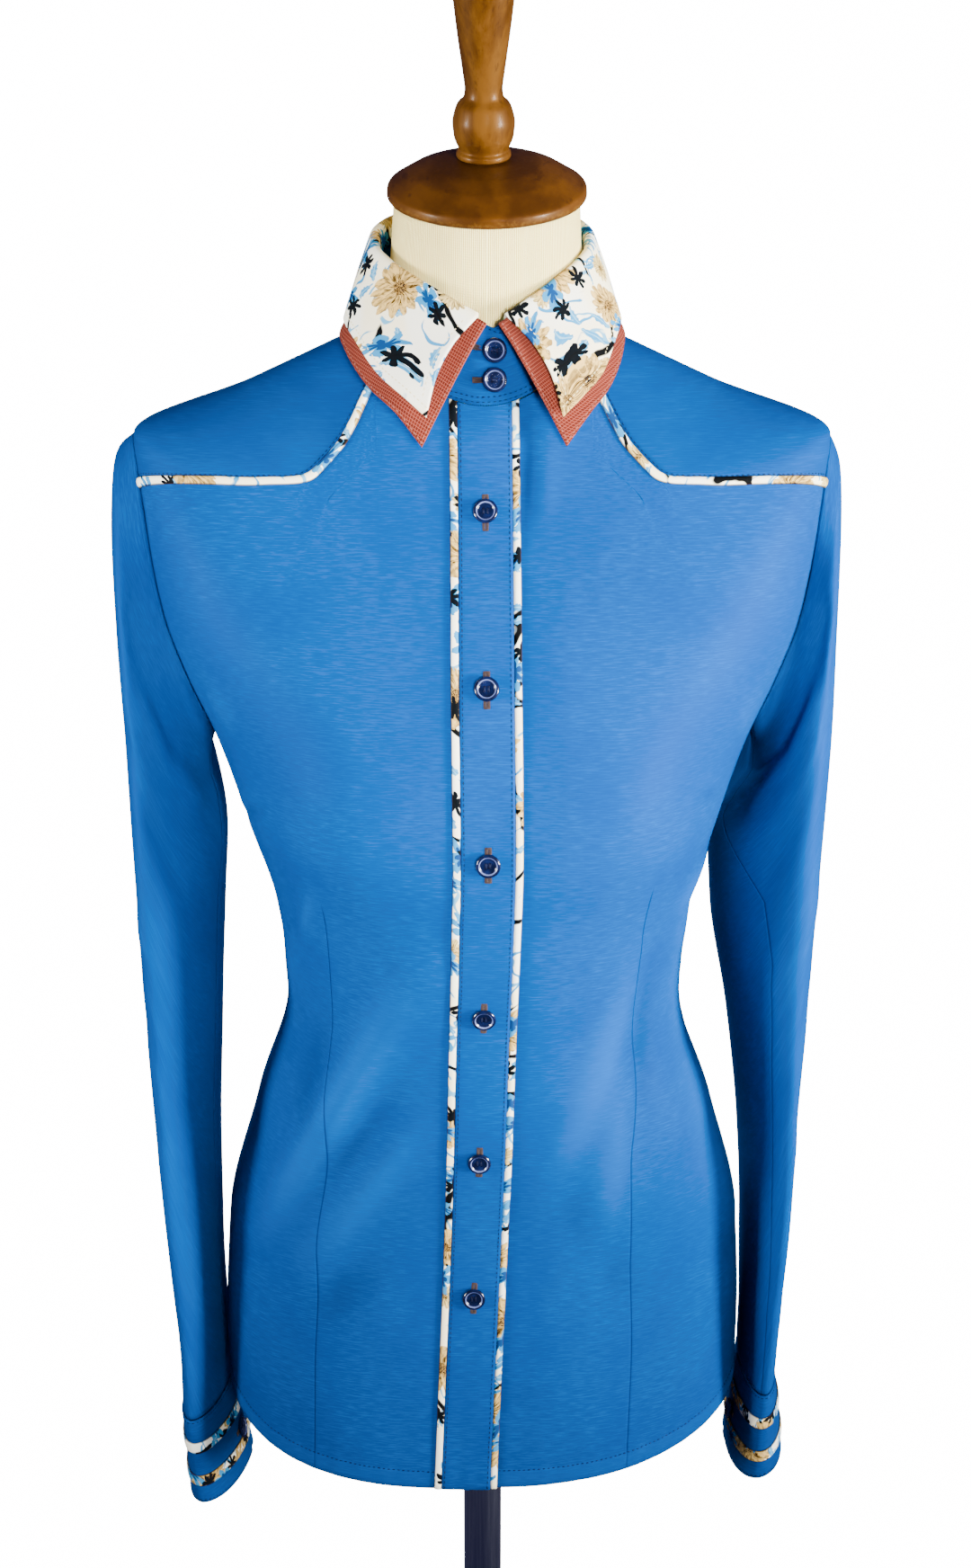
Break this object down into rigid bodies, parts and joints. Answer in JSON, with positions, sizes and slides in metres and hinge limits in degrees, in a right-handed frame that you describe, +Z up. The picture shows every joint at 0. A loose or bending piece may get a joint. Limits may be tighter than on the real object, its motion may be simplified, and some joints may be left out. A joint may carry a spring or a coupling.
{
  "type": "western shirt on a dress form",
  "caption": "Fitted long-sleeved western shirt with pointed yokes, piped placket, striped cuffs and a two-layer collar, on a limbless dress form with a turned cap and a round stand.",
  "frame": {"origin": "middle of the stand base's underside, on the floor", "axes": "+Z up, the shirt's front faces -Y, the wearer's left is +X"},
  "size_m": [0.4143, 0.38, 1.5874],
  "materials": {
    "blue_shirting": "smooth satin-faced cotton shirting, mid blue",
    "floral_cotton": "printed cotton, off-white ground with flowers and leaves",
    "rust_check": "woven cotton with a small rust check",
    "navy_button": "glossy moulded resin, dark navy",
    "cream_jersey": "fine ribbed cotton jersey over padding, cream",
    "turned_wood": "turned hardwood, stained mid brown, satin varnish",
    "steel_pole": "drawn steel tube, satin"
  },
  "bodies": {
    "root": {"back": "blue_shirting", "front_left": "blue_shirting", "front_right": "blue_shirting", "yoke_left": "blue_shirting", "yoke_right": "blue_shirting", "placket": "blue_shirting", "sleeve_left": "blue_shirting", "sleeve_right": "blue_shirting", "cuff_left": "blue_shirting", "cuff_right": "blue_shirting", "collar_stand": "blue_shirting", "collar_top": "floral_cotton", "placket_piping_left": "floral_cotton", "placket_piping_right": "floral_cotton", "yoke_piping_left": "floral_cotton", "yoke_piping_right": "floral_cotton", "cuff_strip_left_lower": "floral_cotton", "cuff_strip_left_upper": "floral_cotton", "cuff_strip_right_lower": "floral_cotton", "cuff_strip_right_upper": "floral_cotton", "collar_under": "rust_check", "button_placket_1": "navy_button", "button_placket_2": "navy_button", "button_placket_3": "navy_button", "button_placket_4": "navy_button", "button_placket_5": "navy_button", "button_placket_6": "navy_button", "button_stand_1": "navy_button", "button_stand_2": "navy_button", "button_cuff_left": "navy_button", "button_cuff_right": "navy_button", "form_body": "cream_jersey", "form_cap": "turned_wood", "form_finial": "turned_wood", "form_base": "turned_wood", "form_pole": "steel_pole"}
  },
  "joints": []
}
